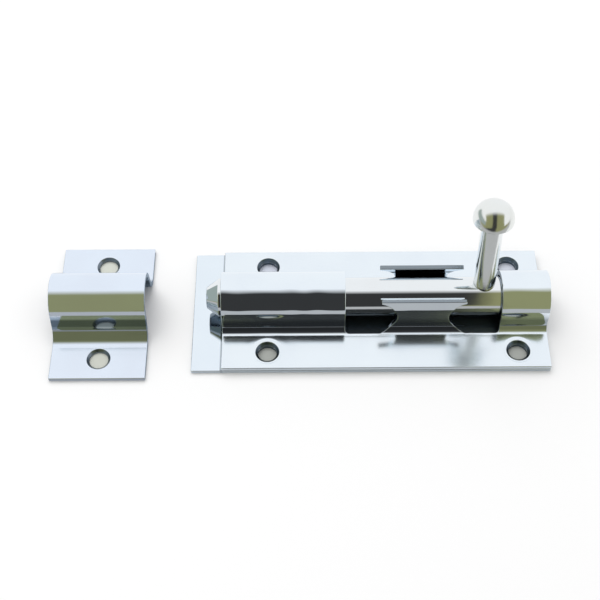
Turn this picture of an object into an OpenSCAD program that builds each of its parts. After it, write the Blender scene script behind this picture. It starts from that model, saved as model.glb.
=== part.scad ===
// Padbolt: a round bolt under two pressed straps, with a swinging handle, lugs that
// lock the handle, and a loose keeper for the frame.
// X runs along the bolt and it shoots towards -X. Y runs from the front edge to the
// back edge, Z stands off the door, and the origin is the middle of the four screws.

/* [Case] */
// Length of the pressed cover along the bolt
cover_l = 100; // [92:1:140]
// Depth of the case from front edge to back edge
case_w = 44; // [42:1:60]
// Thickness of the pressed sheet
sheet_t = 1.4; // [0.9:0.1:1.8]
// Thickness of the flat back plate
back_t = 1.2; // [0.8:0.1:2]
// How far the back plate shows past the cover at the nose end
back_lip = 9.2; // [4:0.1:12]

/* [Straps] */
// Length of the long strap at the nose end
nose_strap_l = 37.9; // [30:0.1:40]
// Length of the short strap at the tail end
tail_strap_l = 14.7; // [10:0.1:18]
// Radius of the bend where a strap or lug turns into the flange
foot_r = 2.7; // [1:0.1:3]
// Width of the window between the two flanges
window_w = 19.4; // [18:0.1:20]
// Radius of the window corners beside the straps
corner_r = 1.2; // [0.6:0.1:1.4]

/* [Lugs] */
// Length of a lug's head along the bolt
lug_head_l = 25.7; // [22:0.1:27]
// Radius of the round notch under each end of a lug's head
notch_r = 5.9; // [4.6:0.1:6.2]
// How far a notch's centre lies past the end of the head
notch_out = 0.9; // [0.5:0.1:1.6]
// Height of a lug's rim above the bolt's axis
lug_rise = 6.7; // [6:0.1:7.5]
// Height above the bolt's axis at which a lug folds in
lug_fold = 3.5; // [1:0.1:4.5]
// How far a lug's rim leans in over the bolt
lug_lean = 0.9; // [0.4:0.1:1.2]
// Radius of a lug's outer corners
lug_tip_r = 0.35; // [0.2:0.05:0.4]

/* [Bolt] */
// Diameter of the round bolt
bolt_d = 12; // [11:0.1:12.6]
// Gap between the bolt and the inside of a strap, all round
bolt_gap = 0.5; // [0.3:0.05:0.8]
// Gap between the bolt and the flange's level under it
bolt_drop = 0; // [0:0.1:0.6]
// How far the nose stands out of the long strap when drawn back
nose_out = 4.6; // [4:0.1:8]
// Length of the cone on the nose
nose_cone_l = 3.7; // [2:0.1:3.9]
// Diameter of the flat on the end of the nose
nose_flat_d = 6.6; // [5:0.1:9]
// How far the bolt's tail stops short of the case's tail end
tail_in = 2.5; // [1:0.1:5]
// Chamfer on the bolt's tail
tail_chamfer = 0.8; // [0.4:0.1:1.2]

/* [Handle] */
// Diameter of the handle's shank
shank_d = 6.6; // [5.6:0.1:6.8]
// Gap between the shank and the short strap
shank_gap = 1.7; // [0.8:0.1:1.9]
// Distance from the bolt's axis to the underside of the head
shank_l = 30.7; // [26:0.1:40]
// Diameter of the mushroom head
head_d = 12.2; // [10:0.1:14]
// Height of the straight rim of the head
head_rim = 0.8; // [0.4:0.1:1.4]
// Depth of the hollow cone under the head
head_hollow = 0.6; // [0.3:0.1:1]
// How far the raised handle leans back from straight up, in degrees
handle_lean = 10; // [0:1:15]

/* [Keeper] */
// Length of the keeper along the bolt
keeper_l = 29.2; // [22:0.1:34]
// Depth of the keeper over its two feet
keeper_w = 49; // [46:0.5:60]
// How far each leg of the keeper leans out from upright, in degrees
keeper_flare = 12; // [0:1:14]
// Radius of the bend from the keeper's legs into its feet
keeper_foot_r = 5; // [1.8:0.1:5.4]
// Space between the keeper and the case's back plate
keeper_gap = 13.7; // [2:0.1:16]

/* [Screw holes] */
// Diameter of every screw hole
hole_d = 5.8; // [4.4:0.1:6.4]
// Diameter of the countersink's mouth
sink_d = 7.4; // [7:0.1:8]
// Depth of the countersink
sink_depth = 0.6; // [0.3:0.05:0.7]
// Width of the pressed dish round each hole of the case
dish_w = 1.3; // [0.6:0.1:1.5]
// Depth of the pressed dish round each hole of the case
dish_depth = 0.15; // [0.05:0.05:0.25]
// Screw holes in from the case's nose end
hole_in_nose = 14; // [12:0.1:18]
// Screw holes in from the case's tail end
hole_in_tail = 9.5; // [8:0.1:12]
// Distance between the two rows of screw holes on the case
hole_rows = 32; // [31:0.1:34]
// Distance between the keeper's two screw holes
keeper_rows = 35; // [34:0.1:37]

/* [Hidden] */
$fn = 96;

cut = 1;
saddle_gap = 0.05;
leg_inset = 0.01;

bolt_r = bolt_d / 2;
shank_r = shank_d / 2;
head_r = head_d / 2;

hole_span = cover_l - hole_in_nose - hole_in_tail;
nose_x = -hole_span / 2 - hole_in_nose;
tail_x = nose_x + cover_l;

flange_top = back_t + sheet_t;
axis_z = flange_top + bolt_drop + bolt_r;
bore_r = bolt_r + bolt_gap;
strap_r = bore_r + sheet_t;
window_half = window_w / 2;

window_x = nose_x + nose_strap_l;
window_end = tail_x - tail_strap_l;
lug_x = (window_x + window_end) / 2;
lug_top = axis_z + lug_rise;
notch_x = lug_head_l / 2 + notch_out;

handle_x = window_end - shank_gap - shank_r;
throw = handle_x - (window_x + shank_gap + shank_r);
bolt_l = cover_l + nose_out - tail_in;

keeper_end = nose_x - back_lip - keeper_gap;
keeper_x = keeper_end - keeper_l / 2;

// Extrudes an outline drawn across the bolt, with its x as Y and its y as Z
module along_bolt(x, l) {
    translate([x, 0, 0]) rotate([90, 0, 90]) linear_extrude(l) children();
}

// Solid under an arch of radius r that stands on base. Its legs lean out by flare degrees
// and each ends in a bend of radius f. A leaning leg lies just inside both its arcs, so
// that it crosses them where a bare touch would leave a sliver
module arch_fill(r, f, base, flare) {
    inset = flare > 0 ? leg_inset : 0;
    out = [cos(flare), sin(flare)];
    shoulder = [0, axis_z] + (r - inset) * out;
    bend_z = base + f - inset;
    bend_y = (r + f - 2 * inset + (axis_z - bend_z) * sin(flare)) / cos(flare);
    leg = [bend_y, bend_z] - (f - inset) * out;
    translate([0, axis_z]) circle(r);
    difference() {
        polygon([
            [-shoulder.x, shoulder.y], [-leg.x, leg.y], [-bend_y, bend_z], [-bend_y, base],
            [bend_y, base], [bend_y, bend_z], leg, shoulder
        ]);
        for (side = [-1, 1]) translate([side * bend_y, bend_z]) circle(f);
    }
}

// Sheet bent into an arch over the bolt, with one flange each side, half_w out at floor_z
module arch_sheet(half_w, floor_z, f, flare = 0) {
    difference() {
        union() {
            arch_fill(strap_r, f, floor_z + sheet_t, flare);
            translate([-half_w, floor_z]) square([2 * half_w, sheet_t]);
            translate([-strap_r, floor_z]) square([2 * strap_r, axis_z - floor_z]);
        }
        arch_fill(bore_r, f + sheet_t, floor_z, flare);
        translate([-bore_r, floor_z - cut]) square([2 * bore_r, axis_z - floor_z + cut]);
    }
}

// Both lugs in section: the bent foot, the wall and its rim folded in
module lug_section() {
    intersection() {
        arch_sheet(case_w / 2, back_t, foot_r);
        translate([-window_half, back_t]) square([2 * window_half, axis_z - back_t]);
    }
    for (side = [-1, 1]) scale([side, 1])
        polygon([
            [bore_r, axis_z - cut],
            [strap_r, axis_z - cut],
            [strap_r, axis_z + lug_fold],
            [strap_r - lug_lean, lug_top],
            [bore_r - lug_lean, lug_top],
            [bore_r, axis_z + lug_fold]
        ]);
}

// Outline of a lug seen from the front: a head with a round notch under each end
module lug_outline() {
    difference() {
        union() {
            translate([-notch_x, 0]) square([2 * notch_x, axis_z]);
            translate([-lug_head_l / 2, 0]) square([lug_head_l, lug_top - lug_tip_r]);
            translate([-lug_head_l / 2 + lug_tip_r, 0])
                square([lug_head_l - 2 * lug_tip_r, lug_top + cut]);
            for (side = [-1, 1])
                translate([side * (lug_head_l / 2 - lug_tip_r), lug_top - lug_tip_r])
                    circle(lug_tip_r);
        }
        for (side = [-1, 1]) translate([side * notch_x, axis_z]) circle(notch_r);
    }
}

// The two lugs: both legs, cut to the lug's outline
module lugs() {
    intersection() {
        along_bolt(lug_x - notch_x, 2 * notch_x) lug_section();
        translate([lug_x, window_half + cut, 0]) rotate([90, 0, 0])
            linear_extrude(2 * (window_half + cut)) lug_outline();
    }
}

// Cuts the window between the two straps, with its corners rounded
module window_cut() {
    l = window_end - window_x;
    linear_extrude(axis_z + strap_r + cut) {
        translate([window_x, corner_r - window_half]) square([l, window_w - 2 * corner_r]);
        translate([window_x + corner_r, -window_half]) square([l - 2 * corner_r, window_w]);
        for (x = [window_x + corner_r, window_end - corner_r], side = [-1, 1])
            translate([x, side * (window_half - corner_r)]) circle(corner_r);
    }
}

// Cuts one screw hole and its countersink down from the face at top
module screw_cut(x, y, top) {
    translate([x, y, -cut]) cylinder(d = hole_d, h = top + 2 * cut);
    translate([x, y, top - sink_depth])
        cylinder(d1 = hole_d, d2 = sink_d, h = sink_depth);
    translate([x, y, top]) cylinder(d = sink_d, h = cut);
}

// Cuts the pressed dish round one screw hole in the face at top
module dish_cut(x, y, top) {
    translate([x, y, top - dish_depth])
        cylinder(d1 = sink_d, d2 = sink_d + 2 * dish_w, h = dish_depth);
    translate([x, y, top]) cylinder(d = sink_d + 2 * dish_w, h = cut);
}

// Flat plate behind the cover, which closes the case and shows past its nose end
module back_plate() {
    color("lightsteelblue")
        difference() {
            translate([nose_x - back_lip, -case_w / 2, 0])
                cube([cover_l + back_lip, case_w, back_t]);
            for (x = [-1, 1], y = [-1, 1])
                translate([x * hole_span / 2, y * hole_rows / 2, -cut])
                    cylinder(d = hole_d, h = back_t + 2 * cut);
        }
}

// One pressing: two flanges, the long and the short strap, and the two lugs
module cover() {
    color("gainsboro") {
        difference() {
            along_bolt(nose_x, cover_l) arch_sheet(case_w / 2, back_t, foot_r);
            window_cut();
            for (x = [-1, 1], y = [-1, 1]) {
                screw_cut(x * hole_span / 2, y * hole_rows / 2, flange_top);
                dish_cut(x * hole_span / 2, y * hole_rows / 2, flange_top);
            }
        }
        lugs();
    }
}

// Round bolt with a coned nose
module bolt() {
    color("silver")
        translate([nose_x - nose_out, 0, axis_z]) rotate([0, 90, 0])
            rotate_extrude()
                polygon([
                    [0, 0],
                    [nose_flat_d / 2, 0],
                    [bolt_r, nose_cone_l],
                    [bolt_r, bolt_l - tail_chamfer],
                    [bolt_r - tail_chamfer, bolt_l],
                    [0, bolt_l]
                ]);
}

// Shank and mushroom head in one piece, seated on the bolt and raised
module handle() {
    color("whitesmoke")
        translate([handle_x, 0, axis_z]) rotate([-handle_lean, 0, 0])
            difference() {
                union() {
                    cylinder(r = shank_r, h = shank_l + head_rim);
                    translate([0, 0, shank_l]) cylinder(r = head_r, h = head_rim);
                    translate([0, 0, shank_l + head_rim])
                        intersection() {
                            sphere(head_r);
                            translate([0, 0, head_r]) cube(2 * head_r, center = true);
                        }
                }
                rotate([0, 90, 0])
                    cylinder(r = bolt_r + saddle_gap, h = shank_d + 2 * cut, center = true);
                translate([-head_r, -head_r, -head_d]) cube([head_d, head_d, head_d]);
                translate([0, 0, shank_l])
                    difference() {
                        cylinder(r1 = head_r - head_rim, r2 = shank_r, h = head_hollow);
                        translate([0, 0, -cut]) cylinder(r = shank_r, h = head_hollow + 2 * cut);
                    }
            }
}

// Loose keeper: one arch on two feet that the bolt shoots into
module keeper() {
    color("lightgray")
        difference() {
            along_bolt(keeper_end - keeper_l, keeper_l)
                arch_sheet(keeper_w / 2, 0, keeper_foot_r, keeper_flare);
            for (side = [-1, 1]) screw_cut(keeper_x, side * keeper_rows / 2, sheet_t);
        }
}

back_plate();
cover();
bolt();
handle();
keeper();
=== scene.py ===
"""Chromed padbolt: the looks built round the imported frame.

The pieces' lengths are in millimetres until a mesh is stored, and the stage's are in
metres, both in the row frame: X along the bolt, Y from the front edge to the back one, Z
off the door.
"""

import math

import bpy
import numpy as np
from mathutils import Matrix, Vector
from mathutils.geometry import delaunay_2d_cdt


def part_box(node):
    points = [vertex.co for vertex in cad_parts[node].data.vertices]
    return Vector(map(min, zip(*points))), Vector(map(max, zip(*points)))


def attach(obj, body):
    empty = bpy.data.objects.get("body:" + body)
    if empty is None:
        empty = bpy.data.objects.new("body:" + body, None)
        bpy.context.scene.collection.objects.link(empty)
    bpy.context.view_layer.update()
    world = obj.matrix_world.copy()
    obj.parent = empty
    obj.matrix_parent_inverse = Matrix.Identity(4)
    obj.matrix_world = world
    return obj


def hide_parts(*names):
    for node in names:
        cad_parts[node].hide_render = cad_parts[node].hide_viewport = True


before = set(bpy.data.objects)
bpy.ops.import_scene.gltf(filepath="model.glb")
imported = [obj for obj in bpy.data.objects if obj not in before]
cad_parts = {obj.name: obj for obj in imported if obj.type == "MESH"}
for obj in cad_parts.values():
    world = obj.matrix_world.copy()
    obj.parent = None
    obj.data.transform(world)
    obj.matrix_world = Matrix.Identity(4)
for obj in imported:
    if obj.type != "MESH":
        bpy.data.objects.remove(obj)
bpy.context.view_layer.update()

MM = 0.001


def node_box(node):
    """Lowest and highest corner of a CAD node, in millimetres."""
    low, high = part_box(node)
    return np.array(low) / MM, np.array(high) / MM


# Sizes

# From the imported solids
COVER_LOW, COVER_HIGH = node_box("cover")
PLATE_LOW, PLATE_HIGH = node_box("back_plate")
BOLT_LOW, BOLT_HIGH = node_box("bolt")
KEEPER_LOW, KEEPER_HIGH = node_box("keeper")

BOLT_R = (BOLT_HIGH[2] - BOLT_LOW[2]) / 2
AXIS_Z = (BOLT_HIGH[2] + BOLT_LOW[2]) / 2
STRAP_R = COVER_HIGH[2] - AXIS_Z
CASE_HALF_W = COVER_HIGH[1]
PLATE_TOP = PLATE_HIGH[2]
KEEPER_X = (KEEPER_LOW[0] + KEEPER_HIGH[0]) / 2

# The sheet, the bends where its walls turn out into flanges and feet, and its rounded
# edges and corners
SHEET = 1.4
FOOT_R = 2.7
KEEPER_FOOT_R = 5.0
KEEPER_FLARE = math.radians(12)
EDGE_R = 0.2
BLANK_CORNER = 0.3

# The window between the straps
NOSE_STRAP = 37.9
TAIL_STRAP = 14.7
WINDOW_X = COVER_LOW[0] + NOSE_STRAP
WINDOW_END = COVER_HIGH[0] - TAIL_STRAP
WINDOW_HALF = 9.7
WINDOW_CORNER = 1.2
WINDOW_EDGE_R = 0.2

# The lugs: their rise and fold above the axis, how far they lean in, and their notches
LUG_X = (WINDOW_X + WINDOW_END) / 2
LUG_HEAD = 25.7
LUG_RISE = 6.7
LUG_FOLD = 3.5
LUG_LEAN = 0.9
LUG_BEND = 1.2
NOTCH_R = 5.9
NOTCH_OUT = 0.9
LUG_ROOT_R = 0.4
LUG_BARB_R = 0.22
LUG_TIP_R = 0.3

# The screw holes: bore, countersink, and the pressed dish with the slight swell round it
HOLE_R = 2.9
SINK_R = 3.7
DISH_R = 5.0
DISH_DEPTH = 0.15
SWELL = 0.02
SWELL_OUT = 1.0
SWELL_SPREAD = 1.2
CASE_HOLES = [(x, y) for x in (-38.25, 38.25) for y in (-16.0, 16.0)]
KEEPER_HOLES = [(KEEPER_X, -17.5), (KEEPER_X, 17.5)]

# The bolt's nose and tail
NOSE_R = 3.3
NOSE_L = 3.7
TAIL_CHAMFER = 0.8

# The handle: its place and lean at rest, its shank and head, and its saddle's clearance
HANDLE_X = 28.05
HANDLE_LEAN = math.radians(10)
SHANK_R = 3.3
SHANK_L = 30.7
HEAD_R = 6.1
HEAD_RIM = 0.8
HEAD_HOLLOW = 0.6
SADDLE_R = BOLT_R + 0.05

# Heights of the slight waves in pressed and rolled sheet, and the length they fade in over
FLANGE_WAVE = 0.006
ARCH_WAVE = 0.014
KEEPER_WAVE = 0.008
PLATE_WAVE = 0.005
WAVE_FADE = 3.0

# Share of painted shade on the sheets' outer edges, on the lug tops, in the keeper's holes, in the
# case's holes and at the window's tail end, and on the plate under the bolt, and how near to upright a
# cut edge begins
EDGE_SHADE, LUG_TOP_SHADE, KEEPER_HOLE_SHADE, DEEP_SHADE, UNDER_BOLT_SHADE = 0.3, 0.72, 0.8, 0.93, 0.62
STEEP = math.radians(46)

# Fineness of the meshes
ARC_STEP = math.radians(15)
NOTCH_POINTS = 56
HOLE_POINTS = 72
RING_POINTS = 56
RING_START, RING_STEP = 0.25, 0.3
RINGS_OUT, GRID_OUT = 2.1, 2.2
EDGE_CLEAR = 0.22
BEND_CLEAR = 0.15
CLOSE = 0.01
BOLT_SIDES = 160
HANDLE_SIDES = 96
DOME_ROWS = 22


# Paths in a plane


def rounded_path(corners, radii, step, closed=True):
    """Polyline through corners. Each corner is an arc of its radius that touches both
    sides, in steps of about ARC_STEP, and each straight run is cut into equal steps."""
    corners = np.asarray(corners, float)
    count = len(corners)
    pieces = []
    for i in range(count):
        here, r = corners[i], radii[i]
        before, after = corners[i - 1], corners[(i + 1) % count]
        if r == 0 or (not closed and i in (0, count - 1)):
            pieces.append(here[None])
            continue
        into = (here - before) / np.linalg.norm(here - before)
        away = (after - here) / np.linalg.norm(after - here)
        turn = math.atan2(into[0] * away[1] - into[1] * away[0], into @ away)
        start = here - into * r * math.tan(abs(turn) / 2)
        side = np.array([-into[1], into[0]]) * math.copysign(1, turn)
        rows = max(4, int(abs(turn) / ARC_STEP) + 1)
        a = np.linspace(0, abs(turn), rows)[:, None]
        pieces.append(start + side * r * (1 - np.cos(a)) + into * r * np.sin(a))
    path = []
    for i, piece in enumerate(pieces):
        path.append(piece)
        if not closed and i == count - 1:
            break
        a, b = piece[-1], pieces[(i + 1) % count][0]
        cuts = max(1, int(round(np.linalg.norm(b - a) / step)))
        u = np.linspace(0, 1, cuts + 1)[1:-1, None]
        path.append(a + (b - a) * u)
    return np.concatenate(path)


def ring(centre, r, count):
    """Clockwise circle, so that the sheet is on its left."""
    a = -np.arange(count) * 2 * math.pi / count
    return np.stack([centre[0] + r * np.cos(a), centre[1] + r * np.sin(a)], axis=1)


def outward(loop):
    """Unit vectors at a loop's points, away from the sheet, which is on its left."""
    d = np.roll(loop, -1, axis=0) - loop
    d /= np.linalg.norm(d, axis=1)[:, None]
    d = d + np.roll(d, 1, axis=0)
    d /= np.linalg.norm(d, axis=1)[:, None]
    return np.stack([d[:, 1], -d[:, 0]], axis=1)


def inside(loop, points):
    """Even-odd test of points against a closed loop."""
    x, y = points[:, :1], points[:, 1:]
    ax, ay = loop[:, 0], loop[:, 1]
    bx, by = np.roll(ax, -1), np.roll(ay, -1)
    spans = (ay > y) != (by > y)
    cross = ax + (y - ay) * (bx - ax) / np.where(by == ay, 1e-9, by - ay)
    return (np.sum(spans & (x < cross), axis=1) % 2).astype(bool)


def span(a, b, step):
    """Equal steps from a to b, both ends left out."""
    return np.linspace(a, b, max(2, int(round((b - a) / step))) + 1)[1:-1]


def both_sides(bounds, steps):
    """Lengths across a bent blank, from edge to edge through its crown at 0: the bounds of
    its arch, wall, foot and flange, with equal steps between them."""
    pieces = []
    for a, b, step in zip(bounds, bounds[1:], steps):
        pieces += [span(a, b, step), [b]]
    side = np.concatenate(pieces[:-1])
    return np.concatenate([-side, [0], side])


# Pressed sheet


def bent(s, flare, wall, foot_r, flange_z):
    """Section of an arch on two flanges, by the length s along its outer face from the
    crown: an arc of STRAP_R, a straight wall that leans out by flare, a foot of foot_r
    that turns back, and a level flange. Gives Y, Z and the normal's angle from upright."""
    a = np.abs(s)
    turn = math.pi / 2 - flare
    down = np.clip(a - STRAP_R * turn, 0, wall)
    out = np.maximum(a - STRAP_R * turn - wall - foot_r * turn, 0)
    theta = np.minimum(a, STRAP_R * turn) / STRAP_R
    low = turn - np.clip((a - STRAP_R * turn - wall) / foot_r, 0, turn)
    foot_y = foot_r * (math.sin(turn) - np.sin(low))
    foot_z = foot_r * (math.cos(turn) - np.cos(low))
    y = STRAP_R * np.sin(theta) + down * math.sin(flare) + foot_y + out
    z = AXIS_Z + STRAP_R * np.cos(theta) - down * math.cos(flare) + foot_z
    z = np.where(out > 0, flange_z, z)
    return np.sign(s) * y, z, np.sign(s) * np.where(down > 0, low, theta)


def wall_length(flare, foot_r, flange_z):
    """Length of the straight wall between the arch and the foot."""
    return (AXIS_Z - flange_z - foot_r + (STRAP_R + foot_r) * math.sin(flare)) / math.cos(flare)


# Lengths along each section's outer face, from the crown: where the wall begins, how long
# it is, where the foot ends, and the blank's edge
QUARTER = STRAP_R * math.pi / 2
COVER_WALL = wall_length(0, FOOT_R, PLATE_TOP + SHEET)
COVER_FOOT = QUARTER + COVER_WALL + FOOT_R * math.pi / 2
COVER_EDGE = COVER_FOOT + CASE_HALF_W - STRAP_R - FOOT_R
WINDOW_TURN = math.acos(1 - (WINDOW_HALF - STRAP_R) / FOOT_R)
WINDOW_EDGE = QUARTER + COVER_WALL + FOOT_R * WINDOW_TURN

KEEPER_TURN = math.pi / 2 - KEEPER_FLARE
KEEPER_ARCH = STRAP_R * KEEPER_TURN
KEEPER_WALL = wall_length(KEEPER_FLARE, KEEPER_FOOT_R, SHEET)
KEEPER_FOOT = KEEPER_ARCH + KEEPER_WALL + KEEPER_FOOT_R * KEEPER_TURN
KEEPER_FOOT_Y = (STRAP_R + KEEPER_FOOT_R) * math.sin(KEEPER_TURN) + KEEPER_WALL * math.sin(KEEPER_FLARE)
KEEPER_EDGE = KEEPER_FOOT + KEEPER_HIGH[1] - KEEPER_FOOT_Y
KEEPER_LEG_Z = SHEET + KEEPER_FOOT_R * (1 - math.cos(KEEPER_TURN))
LUG_ANGLE = math.atan(LUG_LEAN / (LUG_RISE - LUG_FOLD))


def cover_bend(x, s):
    """The cover's outer face. Over the window each wall runs on straight up as a lug,
    which turns in by LUG_ANGLE over LUG_BEND, and elsewhere it closes as an arch."""
    y, z, angle = bent(s, 0, COVER_WALL, FOOT_R, PLATE_TOP + SHEET)
    up = np.maximum(QUARTER - np.abs(s), 0)
    start = LUG_FOLD - LUG_BEND / 2
    lean = np.clip((up - start) / LUG_BEND, 0, 1) * LUG_ANGLE
    radius = LUG_BEND / LUG_ANGLE
    rest = np.maximum(up - start - LUG_BEND, 0)
    lug_y = STRAP_R - radius * (1 - np.cos(lean)) - rest * np.sin(lean)
    lug_z = AXIS_Z + np.minimum(up, start) + radius * np.sin(lean) + rest * np.cos(lean)
    lug = (x > WINDOW_X + 0.5) & (x < WINDOW_END - 0.5) & (np.abs(s) < QUARTER)
    side = np.sign(s)
    return (
        np.where(lug, side * lug_y, y),
        np.where(lug, lug_z, z),
        np.where(lug, side * (math.pi / 2 - lean), angle),
    )


def keeper_bend(x, s):
    """The keeper's outer face: the same arch on leaning legs, wider feet and lower flanges."""
    return bent(s, KEEPER_FLARE, KEEPER_WALL, KEEPER_FOOT_R, SHEET)


def plate_bend(x, s):
    """A flat sheet at the back plate's upper face."""
    return s, np.full_like(s, PLATE_TOP), np.zeros_like(s)


def dish(x, s, holes):
    """Pressed dish round each hole: a smooth step down over the ring from DISH_R to
    SINK_R, after a slight swell outside it that falls off as a bell curve does."""
    h = np.zeros_like(x)
    for hx, hs in holes:
        r = np.hypot(x - hx, s - hs)
        u = np.clip((DISH_R - r) / (DISH_R - SINK_R), 0, 1)
        h -= DISH_DEPTH * u * u * (3 - 2 * u)
        h += SWELL * np.exp(-((r - DISH_R - SWELL_OUT) ** 2) / SWELL_SPREAD)
    return h


def no_relief(x, s):
    """Relief of a face that has none."""
    return np.zeros_like(x)


def lie(x, s, bend, relief, depth):
    """Places blank-plane points in space. Point (x, s) lies on the bent outer face and
    sinks by depth into the sheet. The relief raises it, the less the deeper it lies."""
    y, z, angle = bend(x, s)
    h = relief(x, s) * (1 - depth / SHEET) - depth
    return np.stack([x, y + np.sin(angle) * h, z + np.cos(angle) * h], axis=1)


def frame_normal(x, s, bend, relief, e, tilt):
    """Unit normals of the sheet at (x, s), turned by tilt from the face's own normal
    towards the direction e of the blank plane, with the relief's slope taken off."""
    step = 0.02
    _, _, angle = bend(x, s)
    up = np.stack([np.zeros_like(x), np.sin(angle), np.cos(angle)], axis=1)
    along = np.stack([np.ones_like(x), np.zeros_like(x), np.zeros_like(x)], axis=1)
    across = np.stack([np.zeros_like(x), np.cos(angle), -np.sin(angle)], axis=1)
    slope_x = (relief(x + step, s) - relief(x - step, s)) / (2 * step)
    slope_s = (relief(x, s + step) - relief(x, s - step)) / (2 * step)
    c, k = np.cos(tilt), np.sin(tilt)
    n = up * c + (along * e[:, :1] + across * e[:, 1:]) * k
    n -= (along * slope_x[:, None] + across * slope_s[:, None]) * np.abs(c)
    return n / np.linalg.norm(n, axis=1)[:, None]


def edge_rows(r, thickness):
    """Section of a sheet's edge: offsets out of the blank, depths and tilts, for two
    quarter rounds of radius r with the straight edge between them."""
    b = np.linspace(0, math.pi / 2, 5)
    top = np.stack([r * (np.sin(b) - 1), r * (1 - np.cos(b)), b], axis=1)
    low = np.stack([top[:, 0], thickness - top[:, 1], math.pi - b], axis=1)[::-1]
    return np.concatenate([top, low])


def sink_rows(thickness):
    """Section of a screw hole's edge: a countersink at 45 degrees, the bore, and a small
    round at the back, as offset out of the blank, depth and tilt."""
    a = math.pi / 4
    wide = SINK_R - HOLE_R
    return np.array(
        [
            [-wide - 0.05, 0.0, 0.0],
            [-wide + 0.03, 0.02, a / 2],
            [-wide + 0.08, 0.06, a],
            [-0.05, wide - 0.17, a],
            [0.0, wide - 0.1, 2 * a],
            [0.0, thickness - 0.12, 2 * a],
            [-0.04, thickness - 0.04, 3 * a],
            [-0.12, thickness, 4 * a],
        ]
    )


def sheet_face(loops, fill):
    """Triangles of a blank: its loops joined to the fill points that lie between them and
    clear of them by EDGE_CLEAR. Gives the points, the triangles and each loop point's
    place among the points."""
    ring_points = np.concatenate(loops)
    starts = np.cumsum([0] + [len(loop) for loop in loops])
    keep = inside(loops[0], fill)
    for loop in loops[1:]:
        keep &= ~inside(loop, fill)
    fill = fill[keep]
    for loop in loops:
        low, high = loop.min(0) - 1, loop.max(0) + 1
        near = np.all((fill > low) & (fill < high), axis=1)
        a, b = loop, np.roll(loop, -1, axis=0)
        d = b - a
        p = fill[near][:, None]
        t = np.clip(((p - a) * d).sum(2) / (d * d).sum(1), 0, 1)
        gap = np.linalg.norm(p - a - d * t[..., None], axis=2).min(1)
        drop = np.zeros(len(fill), bool)
        drop[near] = gap < EDGE_CLEAR
        fill = fill[~drop]
    points = np.concatenate([ring_points, fill])
    edges = []
    for start, loop in zip(starts, loops):
        i = np.arange(len(loop))
        edges += np.stack([start + i, start + (i + 1) % len(loop)], axis=1).tolist()
    made = delaunay_2d_cdt([Vector(p) for p in points.tolist()], edges, [], 0, 1e-6)
    flat = np.array([tuple(v) for v in made[0]])
    tris = np.array(made[2])
    source = np.array([origin[0] if origin else -1 for origin in made[3]])
    place = np.zeros(len(points), int)
    place[source[source >= 0]] = np.nonzero(source >= 0)[0]
    centre = flat[tris].mean(1)
    keep = inside(loops[0], centre)
    for loop in loops[1:]:
        keep &= ~inside(loop, centre)
    tris = tris[keep]
    a, b, c = (flat[tris[:, i]] for i in range(3))
    clockwise = np.cross(b - a, c - a) < 0
    tris[clockwise] = tris[clockwise][:, ::-1]
    used = np.unique(tris)
    index = np.full(len(flat), -1)
    index[used] = np.arange(len(used))
    return flat[used], index[tris], [index[place[a:b]] for a, b in zip(starts, starts[1:])]


def pressed_sheet(loops, sections, fill, bend, relief, bare):
    """A closed solid: the blank's outer face, its inner face, and between each loop's two
    rims a band that follows the loop's section. Also gives each face's share of painted
    shade: that of its loop on the steep part of a band, and none elsewhere."""
    top_loops = [p + outward(p) * rows[0, 0] for p, rows in zip(loops, sections)]
    low_loops = [p + outward(p) * rows[-1, 0] for p, rows in zip(loops, sections)]
    thickness = sections[0][-1, 1]
    points, normals, faces, shares = [], [], [], []
    rims = []
    start = 0
    for face_loops, depth, tilt in ((top_loops, 0.0, 0.0), (low_loops, thickness, math.pi)):
        flat, tris, places = sheet_face(face_loops, fill)
        x, s = flat[:, 0], flat[:, 1]
        points.append(lie(x, s, bend, relief, depth))
        face_relief = relief if depth == 0 else no_relief
        normals.append(frame_normal(x, s, bend, face_relief, np.zeros((len(x), 2)), tilt))
        # the blank plane is seen from below, so the outer face's triangles are turned round
        faces.append((tris[:, ::-1] if depth == 0 else tris) + start)
        shares.append(np.zeros(len(tris)))
        rims.append([place + start for place in places])
        start += len(flat)
    for loop, rows, share, top_rim, low_rim in zip(loops, sections, bare, rims[0], rims[1]):
        e = outward(loop)
        band = [top_rim]
        for offset, depth, tilt in rows[1:-1]:
            x, s = (loop + e * offset).T
            points.append(lie(x, s, bend, relief, depth))
            normals.append(frame_normal(x, s, bend, no_relief, e, tilt))
            band.append(np.arange(len(loop)) + start)
            start += len(loop)
        band.append(low_rim)
        band = np.array(band)
        a, b = band[:-1], band[1:]
        a2, b2 = np.roll(a, -1, axis=1), np.roll(b, -1, axis=1)
        quads = np.stack([a, a2, b2, b], axis=2).reshape(-1, 4)
        faces.append(np.concatenate([quads[:, [0, 1, 2]], quads[:, [0, 2, 3]]]))
        tilt = (rows[1:, 2] + rows[:-1, 2]) / 2
        # painted shade: each loop's share on the steep part of its edge band
        steep = np.abs(tilt - math.pi / 2) < STEEP
        shares.append(np.tile(np.outer(steep, np.broadcast_to(share, len(loop))).ravel(), 2))
    points, faces, normals = np.concatenate(points), np.concatenate(faces), np.concatenate(normals)
    return points, out_facing(points, faces, normals), normals, np.concatenate(shares)


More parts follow.
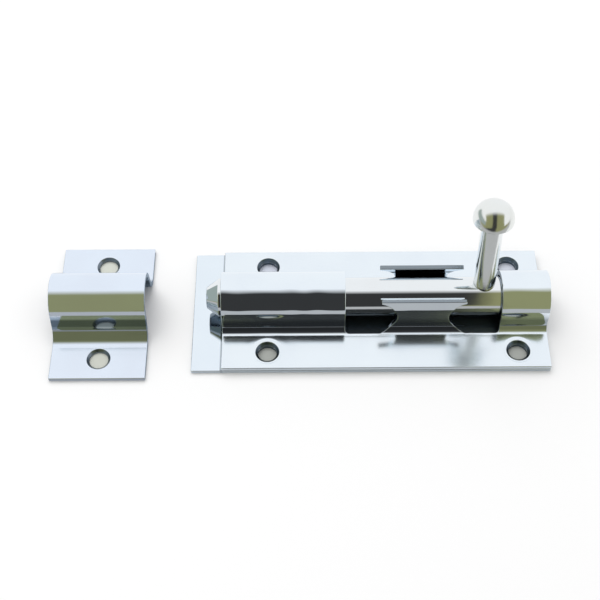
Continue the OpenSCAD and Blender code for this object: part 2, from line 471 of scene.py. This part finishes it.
def blank_fill(xs, ss, holes, foot=0.0):
    """Grid of points over a blank, with rings of points round each screw hole. Up to the
    foot, where the flat begins, the grid stays whole, so that no triangle spans the bend."""
    gx, gs = np.meshgrid(xs, ss, indexing="ij")
    grid = np.stack([gx.ravel(), gs.ravel()], axis=1)
    for hole in holes:
        far = np.hypot(*(grid - hole).T) > DISH_R + GRID_OUT
        grid = grid[far | (np.abs(grid[:, 1]) < foot + CLOSE)]
    radii = np.arange(HOLE_R + RING_START, DISH_R + RINGS_OUT, RING_STEP)
    rings = np.concatenate([ring(hole, r, RING_POINTS) for hole in holes for r in radii])
    flat_from = foot + BEND_CLEAR if foot else 0.0
    return np.concatenate([grid, rings[np.abs(rings[:, 1]) >= flat_from]])


# Turned pieces


def profile_normals(path):
    """Unit normals of an open path, to its left."""
    d = np.gradient(path, axis=0)
    d /= np.linalg.norm(d, axis=1)[:, None]
    return np.stack([-d[:, 1], d[:, 0]], axis=1)


def turned(path, sides):
    """Surface of revolution: path holds (distance along the axis, radius) from one pole to
    the other, carried round the axis in equal steps, with a fan of triangles at each pole.
    Gives axial, two cross coordinates."""
    a = np.arange(sides) * 2 * math.pi / sides

    def carried(rows):
        across = [np.outer(rows[:, 1], part(a)).ravel() for part in (np.cos, np.sin)]
        return np.stack([np.repeat(rows[:, 0], sides), *across], axis=1)

    body = path[1:-1]
    points = np.concatenate([carried(body), [[path[0, 0], 0, 0], [path[-1, 0], 0, 0]]])
    normals = np.concatenate([carried(profile_normals(path)[1:-1]), [[-1, 0, 0], [1, 0, 0]]])
    i, j = np.meshgrid(np.arange(len(body) - 1), np.arange(sides), indexing="ij")
    k = (j + 1) % sides
    row, following = i * sides, (i + 1) * sides
    quads = np.stack([row + j, row + k, following + k, following + j], axis=2).reshape(-1, 4)
    j = np.arange(sides)
    k = (j + 1) % sides
    pole = len(body) * sides
    last = pole - sides
    faces = [
        quads[:, [0, 2, 1]],
        quads[:, [0, 3, 2]],
        np.stack([j, k, np.full(sides, pole)], axis=1),
        np.stack([np.full(sides, pole + 1), last + k, last + j], axis=1),
    ]
    return points, np.concatenate(faces), normals


def out_facing(points, faces, normals):
    """Turns each face round whose own normal goes against its corners' normals."""
    a, b, c = (points[faces[:, i]] for i in range(3))
    against = (np.cross(b - a, c - a) * normals[faces].sum(1)).sum(1) < 0
    faces = faces.copy()
    faces[against] = faces[against][:, ::-1]
    return faces


def bolt_shape():
    """Bar with a coned nose and a chamfered tail, turned about the bolt's axis."""
    x0, x1 = BOLT_LOW[0], BOLT_HIGH[0]
    corners = [
        (x0, 0), (x0, NOSE_R), (x0 + NOSE_L, BOLT_R),
        (x1 - TAIL_CHAMFER, BOLT_R), (x1, BOLT_R - TAIL_CHAMFER), (x1, 0),
    ]
    rounds = [0, 0.35, 0.5, 0.3, 0.3, 0]
    p, f, n = turned(rounded_path(corners, rounds, 0.8, closed=False), BOLT_SIDES)
    p = p + np.array([0, 0, AXIS_Z])
    return p, out_facing(p, f, n), n, np.zeros(len(f))


def handle_shape():
    """Headed pin, turned about its own axis. The path runs down from the dome's pole, over
    a quarter circle, round the rim's bead, in under the head and down the shank. At its
    end a point ahead of the axis is as high as the cylinder of SADDLE_R there: the root of
    SADDLE_R squared less the distance ahead squared. The rows above take a share of that
    dip which fades to nothing at the head."""
    top = SHANK_L + HEAD_RIM
    a = np.linspace(0, math.pi / 2, DOME_ROWS)
    dome = np.stack([top + HEAD_R * np.cos(a), HEAD_R * np.sin(a)], axis=1)
    corners = [
        (top, HEAD_R), (SHANK_L, HEAD_R), (SHANK_L, HEAD_R - HEAD_RIM),
        (SHANK_L + HEAD_HOLLOW, SHANK_R), (SADDLE_R, SHANK_R),
    ]
    under = rounded_path(corners, [0, 0.35, 0.2, 0.45, 0], 0.8, closed=False)
    path = np.concatenate([dome, under[1:], [[SADDLE_R, 0]]])
    p, f, n = turned(path, HANDLE_SIDES)
    height, across, ahead = p.T
    shank = (np.hypot(across, ahead) < SHANK_R + CLOSE) & (height < SHANK_L)
    share = np.clip((SHANK_L - height) / (SHANK_L - SADDLE_R), 0, 1)
    dip = SADDLE_R - np.sqrt(np.maximum(SADDLE_R**2 - ahead**2, 0))
    height = np.where(shank, height - dip * share, height)
    p = np.stack([across, ahead, height], axis=1)
    n = -n[:, [1, 2, 0]]
    # the poles: the saddle's middle and the dome's top
    n[-1] = (0, 0, -1)
    n[-2] = (0, 0, 1)
    c, k = math.cos(HANDLE_LEAN), math.sin(HANDLE_LEAN)
    lean = np.array([[1, 0, 0], [0, c, k], [0, -k, c]])
    p = p @ lean.T + np.array([HANDLE_X, 0, AXIS_Z])
    n = n @ lean.T
    return p, out_facing(p, f, n), n, np.zeros(len(f))


# Blanks


def blank_outline(x0, x1, half, step):
    """Rectangle of a blank, with its corners just broken."""
    corners = [(x0, -half), (x1, -half), (x1, half), (x0, half)]
    return rounded_path(corners, [BLANK_CORNER] * 4, step)


def hole_loops(holes):
    """The screw holes' rims."""
    return [ring(hole, HOLE_R, HOLE_POINTS) for hole in holes]


def window_loop():
    """Outline of the window between the straps, with a lug standing into it from each
    side. A lug's neck is bounded by a circle of NOTCH_R about a point on the bolt's level,
    seen from the front and unrolled onto the foot, wall and folded rim, and its head ends
    in small round corners."""
    nx = LUG_X - LUG_HEAD / 2 - NOTCH_OUT
    tip = LUG_X - LUG_HEAD / 2
    rim = QUARTER - LUG_FOLD - (LUG_RISE - LUG_FOLD) / math.cos(LUG_ANGLE)
    deep = COVER_WALL + FOOT_R * math.sin(WINDOW_TURN)
    a = np.linspace(-math.asin(deep / NOTCH_R), math.acos(NOTCH_OUT / NOTCH_R), NOTCH_POINTS)
    height = NOTCH_R * np.sin(a)
    bend = np.arcsin(np.clip((-height - COVER_WALL) / FOOT_R, 0, 1))
    below = np.clip(-height, 0, COVER_WALL) + FOOT_R * bend
    above = np.clip(height, 0, LUG_FOLD) + np.maximum(height - LUG_FOLD, 0) / math.cos(LUG_ANGLE)
    curve = np.stack([nx + NOTCH_R * np.cos(a), QUARTER + below - above], axis=1)
    corners = [(WINDOW_X, 0), (WINDOW_X, WINDOW_EDGE), *curve.tolist(), (tip, rim), (LUG_X, rim)]
    radii = [0, WINDOW_CORNER, LUG_ROOT_R] + [0] * (len(curve) - 2) + [LUG_BARB_R, LUG_TIP_R, 0]
    left = rounded_path(corners, radii, 0.45, closed=False)
    right = left[:-1][::-1] * [-1, 1] + [2 * LUG_X, 0]
    back = np.concatenate([left, right])
    front = back[1:-1][::-1] * [1, -1]
    return np.concatenate([back, front])


def cover_shape():
    """The cover's blank bent over the bolt."""
    half = COVER_EDGE
    x0, x1 = COVER_LOW[0], COVER_HIGH[0]
    holes = [(x, math.copysign(COVER_FOOT + abs(y) - STRAP_R - FOOT_R, y)) for x, y in CASE_HOLES]
    window = window_loop()
    loops = [blank_outline(x0, x1, half, 0.6), window] + hole_loops(holes)
    sections = [edge_rows(EDGE_R, SHEET), edge_rows(WINDOW_EDGE_R, SHEET)] + [sink_rows(SHEET)] * 4
    bounds = (0, QUARTER, QUARTER + COVER_WALL, COVER_FOOT, half)
    across = both_sides(bounds, (0.4, 0.5, 0.2, 0.8))
    fill = blank_fill(span(x0, x1, 0.8), across, holes, COVER_FOOT)

    def relief(x, s):
        """The dishes, a wave along and across the flanges, and a finer, uneven one on the
        straps, each fading out towards the walls."""
        wave = FLANGE_WAVE * np.sin(x / 5.3 + 0.8) * np.sin(s / 4.1 + x / 23.0)
        flat = np.clip((np.abs(s) - COVER_FOOT) / WAVE_FADE, 0, 1)
        arch = np.clip((QUARTER - np.abs(s)) / WAVE_FADE, 0, 1)
        draw = ARCH_WAVE * np.sin(x / 1.9 + 1.3 * np.sin(x / 4.3)) * np.sin(s / 0.9 + x / 9.0)
        return dish(x, s, holes) + wave * flat + draw * arch

    # painted shade darkens the window's edge at its tail end and on the tops of the lugs; elsewhere the
    # edge stays bright
    x, s = window[:, 0], np.abs(window[:, 1])
    lug_top = (s < QUARTER - LUG_FOLD - 1) & (x > WINDOW_X + 1) & (x < WINDOW_END - 1)
    window_bare = np.select([x > WINDOW_END - 0.2, lug_top], [DEEP_SHADE, LUG_TOP_SHADE], 0.0)
    # painted shade on the outer edge, the window's edge and the holes' walls
    bare = [EDGE_SHADE, window_bare] + [DEEP_SHADE] * 4
    return pressed_sheet(loops, sections, fill, cover_bend, relief, bare)


def keeper_shape():
    """The keeper's blank bent into its arch and two feet."""
    half = KEEPER_EDGE
    x0, x1 = KEEPER_LOW[0], KEEPER_HIGH[0]
    holes = [(x, math.copysign(KEEPER_FOOT + abs(y) - KEEPER_FOOT_Y, y)) for x, y in KEEPER_HOLES]
    loops = [blank_outline(x0, x1, half, 0.5)] + hole_loops(holes)
    sections = [edge_rows(EDGE_R, SHEET)] + [sink_rows(SHEET)] * 2
    bounds = (0, KEEPER_ARCH, KEEPER_ARCH + KEEPER_WALL, KEEPER_FOOT, half)
    across = both_sides(bounds, (0.4, 0.5, 0.25, 0.8))
    fill = blank_fill(span(x0, x1, 0.7), across, holes, KEEPER_FOOT)

    def relief(x, s):
        """A wave along and across the flanges, fading out towards the feet's bends."""
        flat = np.clip((np.abs(s) - KEEPER_FOOT) / WAVE_FADE, 0, 1)
        return KEEPER_WAVE * np.sin(x / 4.7 + 0.4) * np.sin(s / 5.3) * flat

    # painted shade on the keeper's outer edge and its holes' walls
    bare = [EDGE_SHADE] + [KEEPER_HOLE_SHADE] * 2
    return pressed_sheet(loops, sections, fill, keeper_bend, relief, bare)


def plate_shape():
    """The flat back plate with its four holes, darkened by painted shade where the bolt runs over it.
    """
    x0, x1 = PLATE_LOW[0], PLATE_HIGH[0]
    half = PLATE_HIGH[1]
    loops = [blank_outline(x0, x1, half, 0.8)] + hole_loops(CASE_HOLES)
    sections = [edge_rows(EDGE_R, PLATE_TOP)] + [edge_rows(EDGE_R / 2, PLATE_TOP)] * 4
    fill = blank_fill(span(x0, x1, 1.5), span(-half, half, 1.5), CASE_HOLES)

    def relief(x, s):
        """A wave along the sheet times one across it that drifts along."""
        return PLATE_WAVE * np.sin(x / 6.1) * np.cos(s / 5.0 + x / 31.0)

    # painted shade on the plate's outer edge and its holes' walls
    points, faces, normals, bare = pressed_sheet(
        loops, sections, fill, plate_bend, relief, [EDGE_SHADE] + [DEEP_SHADE] * 4
    )
    x, y, _ = points[faces].mean(1).T
    # the painted shade under the bolt reaches a little past the window
    under = (x > WINDOW_X - 3) & (x < WINDOW_END + 3) & (np.abs(y) < WINDOW_HALF + 1)
    return points, faces, normals, np.where(under, UNDER_BOLT_SHADE, bare)


# Nodes


def feed(tree, socket, value):
    """Links an output to a socket, or sets the socket's own value."""
    if isinstance(value, bpy.types.NodeSocket):
        tree.links.new(value, socket)
    else:
        socket.default_value = value


def map_range(tree, source, low, high, to_low, to_high, kind="LINEAR"):
    """Carries a value from one range to another."""
    node = tree.nodes.new("ShaderNodeMapRange")
    node.interpolation_type = kind
    for key, value in zip(("From Min", "From Max", "To Min", "To Max"), (low, high, to_low, to_high)):
        node.inputs[key].default_value = value
    feed(tree, node.inputs["Value"], source)
    return node.outputs["Result"]


def combined(tree, operation, a, b):
    """One value from two."""
    node = tree.nodes.new("ShaderNodeMath")
    node.operation = operation
    feed(tree, node.inputs[0], a)
    feed(tree, node.inputs[1], b)
    return node.outputs["Value"]


def mixed(tree, factor, a, b):
    """Colour a turning into colour b."""
    node = tree.nodes.new("ShaderNodeMix")
    node.data_type = "RGBA"
    for key, value in (("Factor", factor), ("A", a), ("B", b)):
        feed(tree, node.inputs[key], value)
    return node.outputs["Result"]


# Finishes

# Painted shade: the dark tint mixed into the chrome by each face's share and by the shade bands, and
# the roughness the share adds
PAINTED_SHADE_TINT = (0.05, 0.08, 0.11)
PAINTED_SHADE_ROUGH = 0.3
HAZE_FADE = 0.3
FLANGE_TOP = PLATE_TOP + SHEET


def chrome(name, colour, worn, rough, stretch, ripple, shade_bands=(), haze=None):
    """Bright chrome plate. Object-space noise drawn out along stretch gives fine rub
    marks, a wider one gives cloudy handling marks in roughness and tint, and a third
    gives the slight ripple of plated sheet. The rough numbers are the roughness between
    and in the clouds, and what the rub marks add. Painted shade, a dark tint that also adds
    roughness, shows by each face's share of it, and the shade bands paint the same dark tint
    without the roughness: each is an axis, the two ends of its fade in, the two ends of its
    fade out, and its share. Up to the haze's height the plate is rougher by its amount."""
    material = bpy.data.materials.new(name)
    material.use_nodes = True
    tree = material.node_tree
    new = tree.nodes.new
    shader = tree.nodes["Principled BSDF"]
    shader.inputs["Metallic"].default_value = 1.0
    place = new("ShaderNodeTexCoord")

    def noise(scale, size, detail):
        mapping, texture = new("ShaderNodeMapping"), new("ShaderNodeTexNoise")
        mapping.inputs["Scale"].default_value = scale
        texture.inputs["Scale"].default_value = size
        texture.inputs["Detail"].default_value = detail
        feed(tree, mapping.inputs["Vector"], place.outputs["Object"])
        feed(tree, texture.inputs["Vector"], mapping.outputs["Vector"])
        return texture.outputs["Fac"]

    cloud = noise((1, 1, 1), 60, 3)
    marks = noise(stretch, 900, 4)
    share = new("ShaderNodeAttribute")
    # each face's share of painted shade
    share.attribute_name = "bare"
    bare = share.outputs["Fac"]
    split = new("ShaderNodeSeparateXYZ")
    feed(tree, split.inputs["Vector"], place.outputs["Object"])
    # shade bands: painted shade laid on by place along an axis
    for axis, low, full, fade, high, most in shade_bands:
        along = split.outputs[axis]
        rise = map_range(tree, along, low * MM, full * MM, 0, most)
        fall = map_range(tree, along, fade * MM, high * MM, most, 0)
        bare = combined(tree, "MAXIMUM", bare, combined(tree, "MINIMUM", rise, fall))
    tint = mixed(tree, map_range(tree, cloud, 0.4, 0.7, 0, 1), (*colour, 1), (*worn, 1))
    # the chrome darkened towards the painted shade tint
    feed(tree, shader.inputs["Base Color"], mixed(tree, bare, tint, (*PAINTED_SHADE_TINT, 1)))
    between, in_clouds, in_marks = rough
    clouds = map_range(tree, cloud, 0.35, 0.75, between, in_clouds)
    fine = combined(tree, "ADD", clouds, map_range(tree, marks, 0.55, 0.75, 0, in_marks))
    rougher = map_range(tree, share.outputs["Fac"], 0, 1, 0, PAINTED_SHADE_ROUGH)
    if haze:
        top, amount = haze
        low_down = map_range(tree, split.outputs["Z"], top * MM, (top + HAZE_FADE) * MM, amount, 0)
        rougher = combined(tree, "MAXIMUM", rougher, low_down)
    feed(tree, shader.inputs["Roughness"], combined(tree, "ADD", fine, rougher))
    wave = new("ShaderNodeBump")
    wave.inputs["Strength"].default_value = 1.0
    wave.inputs["Distance"].default_value = ripple
    feed(tree, wave.inputs["Height"], noise((1, 1, 1), 110, 1))
    feed(tree, shader.inputs["Normal"], wave.outputs["Normal"])
    return material


FINISHES = {
    "back_plate": chrome(
        "rolled_plate_chrome", (0.80, 0.88, 0.95), (0.77, 0.85, 0.93),
        rough=(0.04, 0.08, 0.05), stretch=(0.05, 1, 1), ripple=0.00002,
        # painted shade band: a dark line across the plate in the corner at the cover's end
        shade_bands=[
            ("X", COVER_LOW[0] - 0.6, COVER_LOW[0] - 0.3, COVER_LOW[0] + 0.3, COVER_LOW[0] + 0.6, 0.5),
        ],
    ),
    "cover": chrome(
        "pressed_cover_chrome", (0.82, 0.89, 0.95), (0.79, 0.86, 0.93),
        rough=(0.02, 0.06, 0.04), stretch=(0.05, 1, 1), ripple=0.00003,
        # painted shade band: the cover's walls darker from the flanges up to the bolt's axis
        shade_bands=[("Z", FLANGE_TOP + 0.1, FLANGE_TOP + 0.7, AXIS_Z - 2, AXIS_Z, 0.5)],
        haze=(FLANGE_TOP, 0.12),
    ),
    "bolt": chrome(
        "turned_bar_chrome", (0.82, 0.86, 0.89), (0.80, 0.83, 0.85),
        rough=(0.03, 0.06, 0.08), stretch=(0.03, 1, 1), ripple=0.00002,
        # painted shade band: the bolt darker below its axis
        shade_bands=[("Z", 0, 0.1, AXIS_Z - 1, AXIS_Z + 1.2, 0.8)],
    ),
    "handle": chrome(
        "headed_pin_chrome", (0.82, 0.85, 0.86), (0.80, 0.82, 0.80),
        rough=(0.13, 0.19, 0.05), stretch=(1, 1, 0.1), ripple=0.00004,
    ),
    "keeper": chrome(
        "pressed_keeper_chrome", (0.76, 0.84, 0.95), (0.74, 0.81, 0.92),
        rough=(0.06, 0.10, 0.05), stretch=(0.05, 1, 1), ripple=0.00003,
        # painted shade bands: the keeper's walls darker from the flanges up to the bolt's axis, and
        # darker still from the legs up to just past the axis
        shade_bands=[
            ("Z", SHEET + 0.1, SHEET + 0.7, AXIS_Z - 2, AXIS_Z, 0.5),
            ("Z", KEEPER_LEG_Z, KEEPER_LEG_Z + 0.5, AXIS_Z - 0.3, AXIS_Z + 0.6, 0.74),
        ],
        haze=(SHEET, 0.08),
    ),
}


def store(name, node, body, shape):
    """Puts a piece's points, triangles and normals in a mesh, and hangs it on its body in
    place of its CAD node."""
    points, faces, normals, bare = shape
    mesh = bpy.data.meshes.new(name)
    mesh.from_pydata((points * MM).tolist(), [], faces.tolist())
    mesh.update()
    # each face's share of painted shade
    mesh.attributes.new("bare", "FLOAT", "FACE").data.foreach_set("value", bare.astype(np.float32))
    mesh.shade_smooth()
    mesh.normals_split_custom_set_from_vertices(normals.tolist())
    mesh.materials.append(FINISHES[node])
    piece = bpy.data.objects.new(name, mesh)
    bpy.context.scene.collection.objects.link(piece)
    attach(piece, body)
    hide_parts(node)


store("rolled_back_plate", "back_plate", "case", plate_shape())
store("pressed_cover", "cover", "case", cover_shape())
store("turned_bolt", "bolt", "bolt", bolt_shape())
store("headed_handle", "handle", "handle", handle_shape())
store("pressed_keeper", "keeper", "case", keeper_shape())


# Floor and cards

FLOOR_Z = -0.00005
FLOOR_HALF = 3


def stage_mesh(name, verts, faces, material):
    """A piece of the stage, which is no part of the object."""
    mesh = bpy.data.meshes.new(name)
    mesh.from_pydata(verts, [], faces)
    mesh.materials.append(material)
    thing = bpy.data.objects.new(name, mesh)
    bpy.context.scene.collection.objects.link(thing)
    return thing


def matt(name, colour):
    """Dull paper or card. Gives the material and its shader."""
    material = bpy.data.materials.new(name)
    material.use_nodes = True
    shader = material.node_tree.nodes["Principled BSDF"]
    shader.inputs["Base Color"].default_value = (*colour, 1)
    shader.inputs["Roughness"].default_value = 0.9
    return material, shader


def painted_shade_card(name, low, high, colour, height=FLOOR_Z / 2):
    """Grey card on the floor between two corners, given as X and Y in millimetres, that paints shade on
    the floor.
    """
    (x0, y0), (x1, y1) = low, high
    verts = [(x * MM, y * MM, height) for x, y in ((x0, y0), (x1, y0), (x1, y1), (x0, y1))]
    return stage_mesh(name, verts, [(0, 1, 2, 3)], matt(name, colour)[0])


paper, paper_shader = matt("pale_paper", (0.93, 0.93, 0.93))
paper_shader.inputs["Specular IOR Level"].default_value = 0.0
stage_mesh(
    "floor",
    [(x * FLOOR_HALF, y * FLOOR_HALF, FLOOR_Z) for x, y in ((-1, -1), (1, -1), (1, 1), (-1, 1))],
    [(0, 1, 2, 3)],
    paper,
)

# Grey cards under the screw holes: painted shade on the floor seen through them
CASE_CARD_X = (PLATE_LOW[0] + 2, PLATE_HIGH[0] - 2)
KEEPER_CARD_X = (KEEPER_LOW[0] + 1, KEEPER_HIGH[0] - 1)
for name, x, y, colour in (
    ("shade_card_under_case", CASE_CARD_X, (-20, 0), (0.50, 0.52, 0.49)),
    ("shade_card_under_case_back", CASE_CARD_X, (0, 20), (0.72, 0.76, 0.86)),
    ("shade_card_under_front_foot", KEEPER_CARD_X, (-23.5, -14.5), (0.68, 0.70, 0.63)),
    ("shade_card_under_back_foot", KEEPER_CARD_X, (14.5, 23.5), (0.68, 0.70, 0.63)),
):
    painted_shade_card(name, (x[0], y[0]), (x[1], y[1]), colour)


# Mirrored room: painted reflections from a glowing strip that only mirror rays see

# Painted reflections: the chrome mirrors a glowing strip, white overhead and behind, dark to
# # the front round the camera, olive at either side of the dark, and grey on the floor.
WHITE_REFLECTION_GLOW = (1.0, 1.0, 1.0)
DARK_REFLECTION_GLOW = (0.04, 0.04, 0.04)
OLIVE_REFLECTION_GLOW = (0.3, 0.3, 0.15)
FLOOR_REFLECTION_GLOW = (0.5, 0.5, 0.5)

# Where each lies, as (angle from overhead towards the front in degrees, colour). Past 90
# degrees the angle stands for the floor, from far away to close in at ROOM_END.
ROOM_END = 130
ROOM_LEFT = [
    (-ROOM_END, WHITE_REFLECTION_GLOW), (0, WHITE_REFLECTION_GLOW), (20, OLIVE_REFLECTION_GLOW), (96, OLIVE_REFLECTION_GLOW), (98, FLOOR_REFLECTION_GLOW),
    (ROOM_END, FLOOR_REFLECTION_GLOW),
]
ROOM_MIDDLE = [
    (-ROOM_END, WHITE_REFLECTION_GLOW), (0, WHITE_REFLECTION_GLOW), (20, DARK_REFLECTION_GLOW), (96, DARK_REFLECTION_GLOW), (98, FLOOR_REFLECTION_GLOW),
    (ROOM_END, FLOOR_REFLECTION_GLOW),
]
ROOM_RIGHT = ROOM_LEFT

# X on the object where the left colours turn into the middle ones, and those into the
# right ones, and the camera's own X and distance
ROOM_X = (-0.072, -0.060, 0.022, 0.033)
CAMERA_X = -0.0282
CAMERA_FAR = 0.3657

# The strip: its arc, half its width, its height off the floor, and how far out its pieces
# on the floor begin and the floor's own colours end, over ROOM_JOIN
ROOM_RADIUS = 0.7
ROOM_HALF_W = 0.8
ROOM_LIFT = 0.0002
ROOM_JOIN = 0.001
FLOOR_NEAR = 0.024
FLOOR_DARK = 0.084
END_CARD_TOP = 0.35


def room_place(angle):
    """Place of an angle along the colours, from 0 to 1."""
    return (angle + ROOM_END) / (2 * ROOM_END)


def glowing(name):
    """Material that only glows. Gives it, its tree and the socket of its colour."""
    material = bpy.data.materials.new(name)
    material.use_nodes = True
    tree = material.node_tree
    tree.nodes.clear()
    glow, out = tree.nodes.new("ShaderNodeEmission"), tree.nodes.new("ShaderNodeOutputMaterial")
    feed(tree, out.inputs["Surface"], glow.outputs["Emission"])
    return material, tree, glow.inputs["Color"]


def reflection_glow_material():
    """Glow that paints the chrome's reflections. The strip's UV holds the X on the object
    that mirrors a point to the camera, and the angle. The left, middle and right colours
    follow the angle and change over in ROOM_X."""
    material, tree, glow_colour = glowing("painted_reflection_strip")
    coords, split = tree.nodes.new("ShaderNodeUVMap"), tree.nodes.new("ShaderNodeSeparateXYZ")
    coords.uv_map = "room"
    feed(tree, split.inputs["Vector"], coords.outputs["UV"])

    def column(stops):
        ramp = tree.nodes.new("ShaderNodeValToRGB")
        elements = ramp.color_ramp.elements
        for element, (angle, colour) in zip(elements, (stops[0], stops[-1])):
            element.position, element.color = room_place(angle), (*colour, 1)
        for angle, colour in stops[1:-1]:
            elements.new(room_place(angle)).color = (*colour, 1)
        feed(tree, ramp.inputs["Fac"], split.outputs["Y"])
        return ramp.outputs["Color"]

    def turning(start, end):
        return map_range(tree, split.outputs["X"], start, end, 0, 1, "SMOOTHSTEP")

    left = mixed(tree, turning(*ROOM_X[:2]), column(ROOM_LEFT), column(ROOM_MIDDLE))
    feed(tree, glow_colour, mixed(tree, turning(*ROOM_X[2:]), left, column(ROOM_RIGHT)))
    return material


def only_mirrored(card):
    """Shows a card to mirror rays alone."""
    card.visible_camera = False
    card.visible_diffuse = False
    card.visible_shadow = False
    card.visible_transmission = False
    card.visible_volume_scatter = False


def painted_reflection_strip():
    """Glowing strip that paints the chrome's reflections. It runs along the floor behind the
    object, over it in an arc and back along the floor in front, as a studio's sweep does.
    Only mirror rays see it. A point's U is the X where a line from it to the camera
    crosses the object, and its V is its angle's place along the colours."""
    arc = np.radians(np.linspace(-90, 90, 121))
    low, far = ROOM_LIFT, ROOM_RADIUS
    out = np.geomspace(FLOOR_DARK, far, 16)[1:-1]
    y = np.concatenate([
        [FLOOR_NEAR, FLOOR_DARK], out, -far * np.sin(arc), -out[::-1],
        [-FLOOR_DARK - ROOM_JOIN, -FLOOR_DARK, -FLOOR_NEAR],
    ])
    floor_z = np.full(2 + len(out), low)
    z = np.concatenate([floor_z, low + far * np.cos(arc), floor_z, [low]])
    angle = np.concatenate([
        [-ROOM_END, -97], np.linspace(-97, -90, len(out)), np.degrees(arc),
        np.linspace(90, 96, len(out)), [96, 98, ROOM_END],
    ])
    v = room_place(angle)
    n = len(y)
    verts = [(x, b, c) for x in (-ROOM_HALF_W, ROOM_HALF_W) for b, c in zip(y, z)]
    faces = [(i, n + i, n + i + 1, i + 1) for i in range(n - 1)]
    card = stage_mesh("painted_reflection_strip", verts, faces, reflection_glow_material())
    uv = card.data.uv_layers.new(name="room")
    corner = np.array([i for face in card.data.polygons for i in face.vertices])
    spread = np.hypot(y, z)[corner % n] / CAMERA_FAR
    x = np.where(corner < n, -ROOM_HALF_W, ROOM_HALF_W)
    u = (x + CAMERA_X * spread) / (1 + spread)
    uv.data.foreach_set("uv", np.stack([u, v[corner % n]], axis=1).astype(np.float32).ravel())
    only_mirrored(card)


def nose_reflection_card():
    """Glowing grey-green card low down past the nose's end, across the strip: a painted
    reflection on the nose. Only mirror rays see it."""
    material, tree, glow_colour = glowing("nose_reflection_card_grey")
    # the glow of the nose's painted reflection
    feed(tree, glow_colour, (0.36, 0.42, 0.40, 1))
    corners = ((-1, ROOM_LIFT), (1, ROOM_LIFT), (1, END_CARD_TOP), (-1, END_CARD_TOP))
    verts = [(-ROOM_HALF_W, side * ROOM_RADIUS, z) for side, z in corners]
    only_mirrored(stage_mesh("nose_reflection_card", verts, [(0, 1, 2, 3)], material))


painted_reflection_strip()
nose_reflection_card()
# Painted shade in the nose's reflection: a grey card on the floor by the nose that only mirror rays see
only_mirrored(
    painted_shade_card("shade_card_by_nose", (-800, -24), (PLATE_LOW[0] - 1, 24), (0.34, 0.40, 0.46), FLOOR_Z * 0.75)
)


# World, lamp and camera

WORLD_LIGHT = 0.7
FRAME_PX = 600
SENSOR = 36


def white_room():
    """White world: full white where it is seen, straight or in a mirror or through glass,
    and WORLD_LIGHT as light."""
    world = bpy.data.worlds.new("white_room")
    bpy.context.scene.world = world
    world.use_nodes = True
    tree = world.node_tree
    rays = tree.nodes.new("ShaderNodeLightPath").outputs
    seen = combined(tree, "MAXIMUM", rays["Is Camera Ray"], rays["Is Glossy Ray"])
    seen = combined(tree, "MAXIMUM", seen, rays["Is Transmission Ray"])
    sky = tree.nodes["Background"]
    feed(tree, sky.inputs["Strength"], map_range(tree, seen, 0, 1, WORLD_LIGHT, 1.0))
    feed(tree, sky.inputs["Color"], (1, 1, 1, 1))


def soft_lamp():
    """Wide soft lamp above and behind, aimed at the case. Mirror rays don't see it."""
    data = bpy.data.lights.new("soft_top", "AREA")
    data.shape = "RECTANGLE"
    data.size, data.size_y = 1.2, 1.2
    data.energy = 9
    lamp = bpy.data.objects.new("soft_top", data)
    bpy.context.scene.collection.objects.link(lamp)
    lamp.location = (-0.3, 0.5, 1.1)
    lamp.rotation_euler = (Vector((0, 0, 0)) - lamp.location).to_track_quat("-Z", "Y").to_euler()
    lamp.visible_glossy = False


def camera():
    """Camera fitted to the photograph: pitch, yaw and roll in degrees, focal length in
    pixels of the frame, distance in millimetres, and the point of the object in the
    middle of the frame."""
    pitch, yaw, roll = (math.radians(v) for v in (55.13, -0.17, -0.51))
    focal, distance = 1164.1, 365.7
    target = Vector((-28.19, 3.06, 2.6))
    level = math.cos(pitch)
    ahead = Vector((math.sin(yaw) * level, math.cos(yaw) * level, -math.sin(pitch)))
    right = Vector((math.cos(yaw), -math.sin(yaw), 0))
    up = right.cross(ahead)
    c, s = math.cos(roll), math.sin(roll)
    right, up = right * c + up * s, up * c - right * s
    data = bpy.data.cameras.new("photo_camera")
    data.sensor_width = SENSOR
    data.lens = SENSOR * focal / FRAME_PX
    data.clip_start, data.clip_end = 0.01, 20
    eye = bpy.data.objects.new("photo_camera", data)
    bpy.context.scene.collection.objects.link(eye)
    turn = Matrix((right, up, -ahead)).transposed().to_4x4()
    eye.matrix_world = Matrix.Translation((target - ahead * distance) * MM) @ turn
    bpy.context.scene.camera = eye


white_room()
soft_lamp()
camera()
bpy.context.scene.view_settings.view_transform = "Standard"
